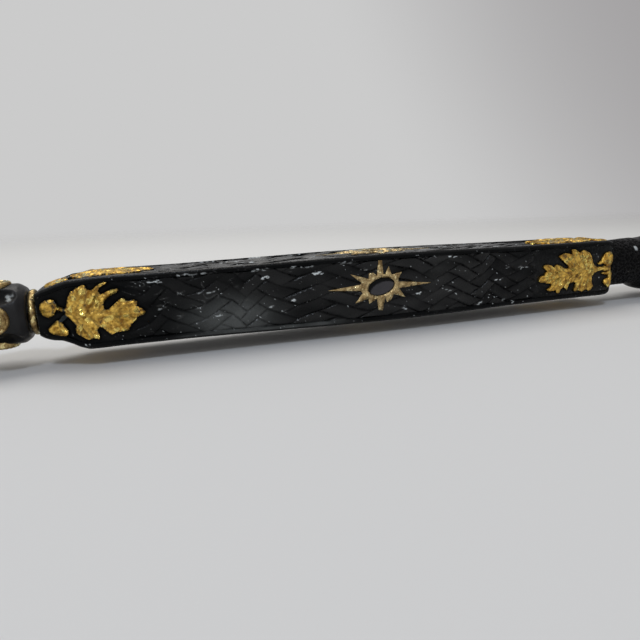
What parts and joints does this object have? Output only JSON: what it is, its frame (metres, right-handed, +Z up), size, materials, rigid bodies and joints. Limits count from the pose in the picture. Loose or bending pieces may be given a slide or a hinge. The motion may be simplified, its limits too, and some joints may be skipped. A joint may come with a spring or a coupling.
{
  "type": "carved walking stick",
  "caption": "Straight black lacquered walking stick with a square basket-weave section, gilded oak sprigs and sunbursts, a rosette knop, an acorn knob and a rubber foot.",
  "frame": {"origin": "middle of the length, on the surface that the stick lies on, under its axis", "axes": "+X along the stick towards the handle, -Y the face that the picture shows, +Z up from the surface it lies on"},
  "size_m": [0.9144, 0.0358, 0.0358],
  "materials": {
    "black_lacquer": "black lacquer over carved hardwood, satin to glossy",
    "gilded_wood": "gold leaf over thin carved wood, crinkled and rubbed",
    "gilt_metal": "gilded turned ring, worn",
    "dark_stone": "polished black onyx, opaque",
    "brass": "polished, slightly dulled",
    "steel": "turned, bright",
    "rubber": "moulded black rubber, matte"
  },
  "bodies": {
    "upper_section": {"carved_section": "black_lacquer", "joint_insert": "brass", "lower_sprig_front": "gilded_wood", "upper_sprig_front": "gilded_wood", "sunburst_front": "gilded_wood", "oval_stone_front": "dark_stone", "lower_sprig_back": "gilded_wood", "upper_sprig_back": "gilded_wood", "sunburst_back": "gilded_wood", "oval_stone_back": "dark_stone", "lower_sprig_top": "gilded_wood", "upper_sprig_top": "gilded_wood", "sunburst_top": "gilded_wood", "oval_stone_top": "dark_stone", "lower_sprig_bottom": "gilded_wood", "upper_sprig_bottom": "gilded_wood", "sunburst_bottom": "gilded_wood", "oval_stone_bottom": "dark_stone", "handle_neck": "black_lacquer", "handle_cup": "black_lacquer", "handle_nut": "black_lacquer", "handle_stud": "steel"},
    "joint_ring": {"joint_ring": "gilt_metal"},
    "lower_section": {"rosette_knop": "black_lacquer", "rosette_front": "gilt_metal", "rosette_bead_front": "dark_stone", "rosette_back": "gilt_metal", "rosette_bead_back": "dark_stone", "rosette_top": "gilt_metal", "rosette_bead_top": "dark_stone", "rosette_bottom": "gilt_metal", "rosette_bead_bottom": "dark_stone", "shaft_ring": "gilt_metal", "tapered_shaft": "black_lacquer", "foot_collar": "brass", "collar_pin": "brass", "rubber_foot": "rubber", "foot_washer": "steel", "joint_stud": "steel"}
  },
  "joints": [
    {"name": "section_draw", "type": "slide", "parent": "upper_section", "child": "joint_ring", "axis": [-1, 0, 0], "range_m": [0, 0.012]},
    {"name": "section_unscrew", "type": "hinge", "parent": "joint_ring", "child": "lower_section", "pos_m": [0.11855, 0, 0.01791], "axis": [-1, 0, 0], "range_deg": [0, 2160]}
  ],
  "couplings": [
    {"joint": "section_draw", "follows": "section_unscrew", "m_per_rad": 0.0003183}
  ]
}
